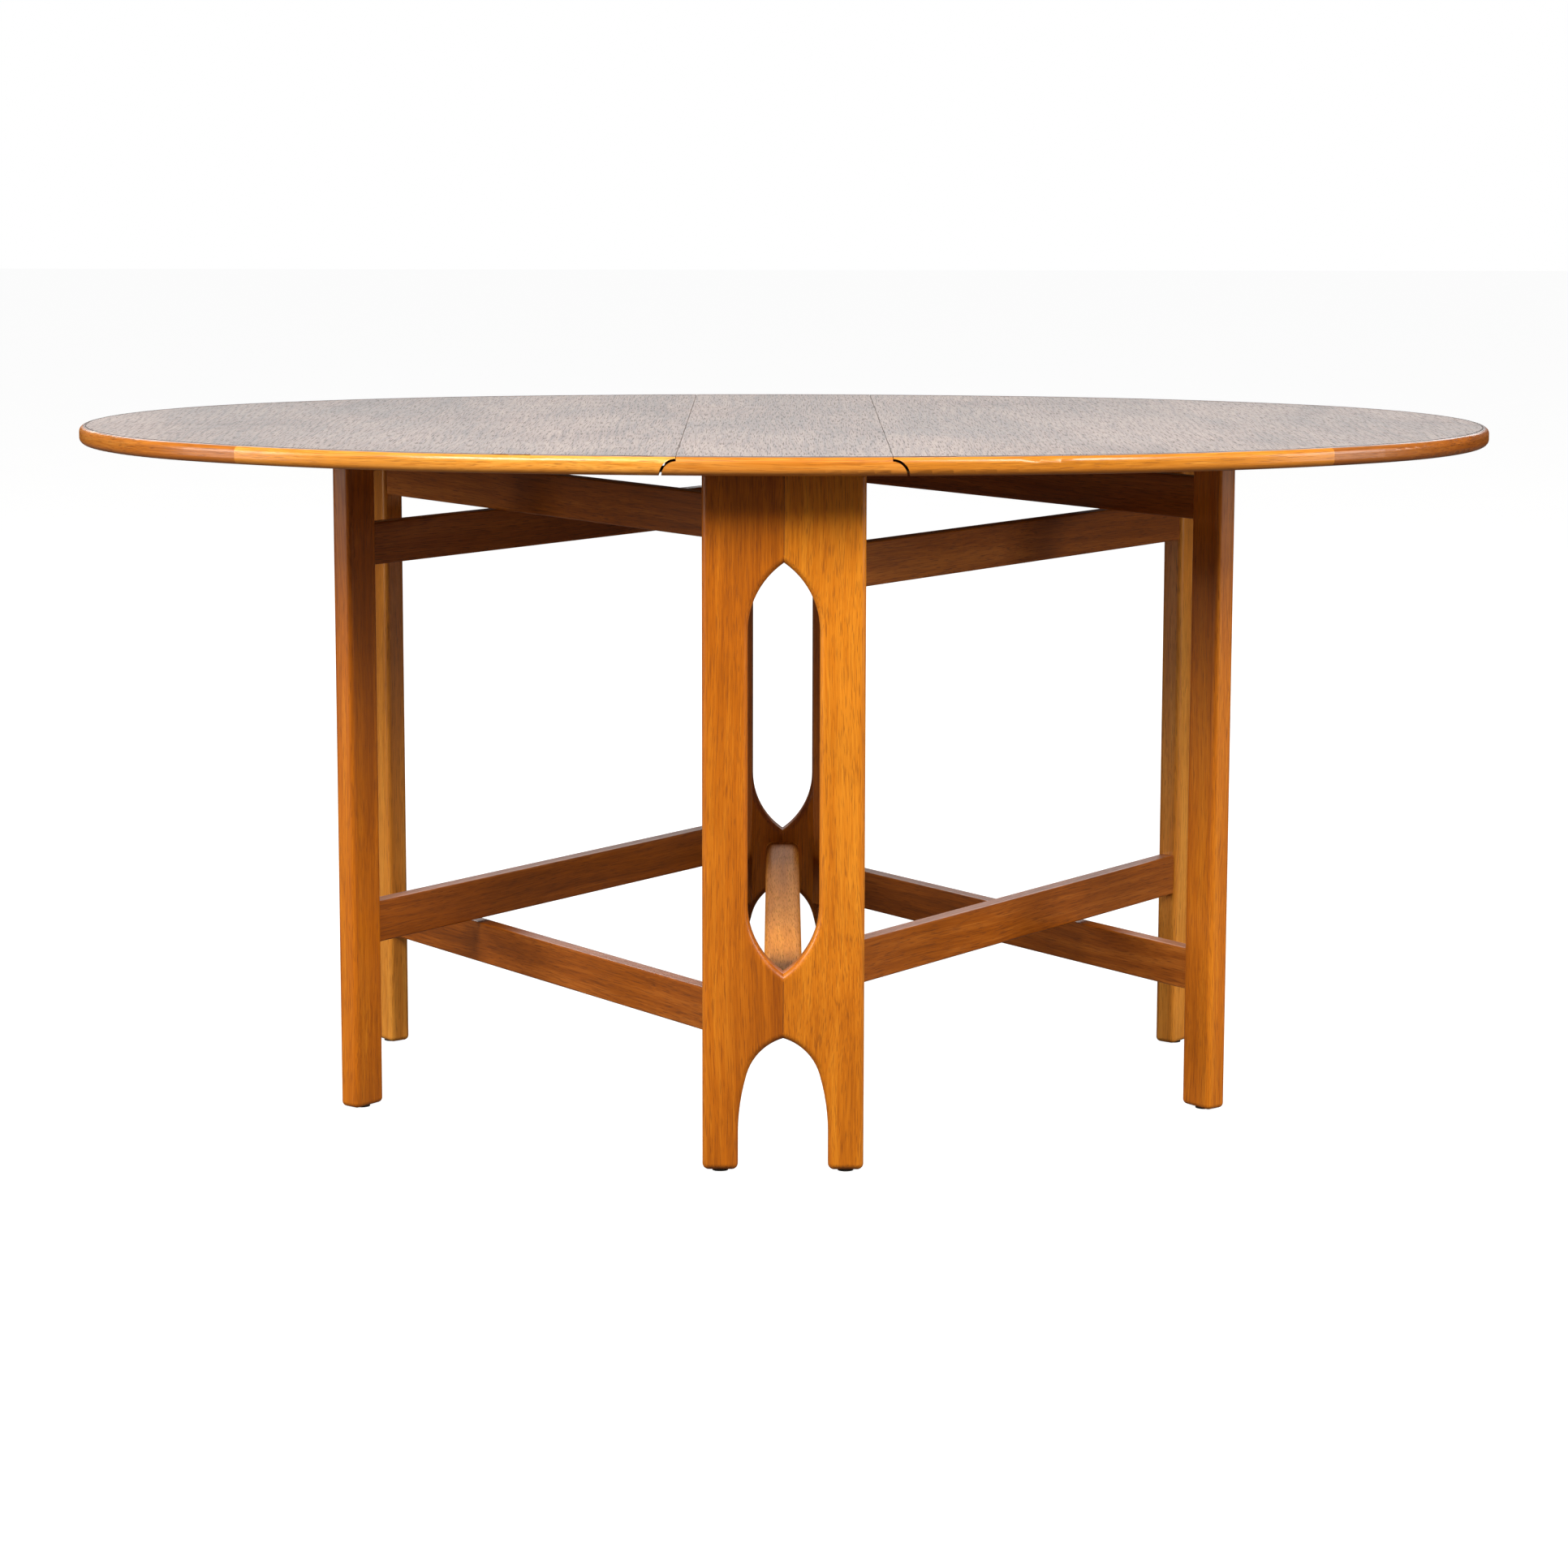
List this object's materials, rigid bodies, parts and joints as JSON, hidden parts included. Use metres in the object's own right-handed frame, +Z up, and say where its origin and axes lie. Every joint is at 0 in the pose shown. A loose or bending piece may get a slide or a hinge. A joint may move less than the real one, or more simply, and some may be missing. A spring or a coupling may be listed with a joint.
{
  "type": "drop leaf table",
  "caption": "Rounded drop-leaf dining table with a narrow fixed top, two raised leaves, pierced end panels and crossed swinging gate legs.",
  "frame": {"origin": "on the floor, under the middle of the tabletop", "axes": "+X is the long way of the open table, +Y is its back, +Z is up"},
  "size_m": [1.512, 0.982, 0.72],
  "materials": {
    "veneer": "satin lacquered figured hardwood veneer",
    "core": "plain board under the veneer",
    "lipping": "lacquered solid hardwood lipping",
    "panel_wood": "oiled solid hardwood",
    "gate_wood": "oiled solid hardwood",
    "rail_wood": "oiled solid hardwood",
    "brass": "dull brass",
    "steel": "plain steel",
    "glides": "matt plastic"
  },
  "bodies": {
    "base": {"back_panel_left_board": "panel_wood", "back_panel_right_board": "panel_wood", "fixed_top_core": "core", "fixed_top_lipping_back": "lipping", "fixed_top_lipping_front": "lipping", "fixed_top_veneer": "veneer", "front_panel_left_board": "panel_wood", "front_panel_right_board": "panel_wood", "hinge_fixed_flaps": "brass", "hinge_fixed_screws": "steel", "hinge_pins": "steel", "lower_stretcher": "rail_wood", "panel_glides": "glides", "pivot_block_back_left": "rail_wood", "pivot_block_back_right": "rail_wood", "pivot_block_front_left": "rail_wood", "pivot_block_front_right": "rail_wood", "upper_rail": "rail_wood", "upper_rail_screws": "steel"},
    "left_leaf": {"left_leaf_core": "core", "left_leaf_gate_stops": "rail_wood", "left_leaf_hinge_flaps": "brass", "left_leaf_hinge_screws": "steel", "left_leaf_lipping_back": "lipping", "left_leaf_lipping_front": "lipping", "left_leaf_lipping_nose": "lipping", "left_leaf_veneer": "veneer"},
    "right_leaf": {"right_leaf_core": "core", "right_leaf_gate_stops": "rail_wood", "right_leaf_hinge_flaps": "brass", "right_leaf_hinge_screws": "steel", "right_leaf_lipping_back": "lipping", "right_leaf_lipping_front": "lipping", "right_leaf_lipping_nose": "lipping", "right_leaf_veneer": "veneer"},
    "gate_front_left": {"gate_front_left_glide": "glides", "gate_front_left_leg": "gate_wood", "gate_front_left_lower_rail": "rail_wood", "gate_front_left_pins": "steel", "gate_front_left_stile": "gate_wood", "gate_front_left_upper_rail": "rail_wood"},
    "gate_back_left": {"gate_back_left_glide": "glides", "gate_back_left_leg": "gate_wood", "gate_back_left_lower_rail": "rail_wood", "gate_back_left_pins": "steel", "gate_back_left_stile": "gate_wood", "gate_back_left_upper_rail": "rail_wood"},
    "gate_front_right": {"gate_front_right_glide": "glides", "gate_front_right_leg": "gate_wood", "gate_front_right_lower_rail": "rail_wood", "gate_front_right_pins": "steel", "gate_front_right_stile": "gate_wood", "gate_front_right_upper_rail": "rail_wood"},
    "gate_back_right": {"gate_back_right_glide": "glides", "gate_back_right_leg": "gate_wood", "gate_back_right_lower_rail": "rail_wood", "gate_back_right_pins": "steel", "gate_back_right_stile": "gate_wood", "gate_back_right_upper_rail": "rail_wood"}
  },
  "joints": [
    {"name": "gate_front_left_swing", "type": "hinge", "parent": "base", "child": "gate_front_left", "pos_m": [-0.052, 0.37, 0.4], "axis": [0, 0, 1], "range_deg": [0, 34.2]},
    {"name": "gate_back_left_swing", "type": "hinge", "parent": "base", "child": "gate_back_left", "pos_m": [-0.052, -0.37, 0.4], "axis": [0, 0, -1], "range_deg": [0, 34.2]},
    {"name": "gate_front_right_swing", "type": "hinge", "parent": "base", "child": "gate_front_right", "pos_m": [0.052, 0.37, 0.4], "axis": [0, 0, -1], "range_deg": [0, 34.2]},
    {"name": "gate_back_right_swing", "type": "hinge", "parent": "base", "child": "gate_back_right", "pos_m": [0.052, -0.37, 0.4], "axis": [0, 0, 1], "range_deg": [0, 34.2]},
    {"name": "left_leaf_lift", "type": "hinge", "parent": "base", "child": "left_leaf", "pos_m": [-0.104, 0, 0.7015], "axis": [0, -1, 0], "range_deg": [-1.2, 0]},
    {"name": "right_leaf_lift", "type": "hinge", "parent": "base", "child": "right_leaf", "pos_m": [0.104, 0, 0.7015], "axis": [0, 1, 0], "range_deg": [-1.2, 0]}
  ],
  "couplings": [
    {"joint": "gate_back_left_swing", "follows": "gate_front_left_swing", "ratio": 1},
    {"joint": "gate_back_right_swing", "follows": "gate_front_right_swing", "ratio": 1}
  ]
}
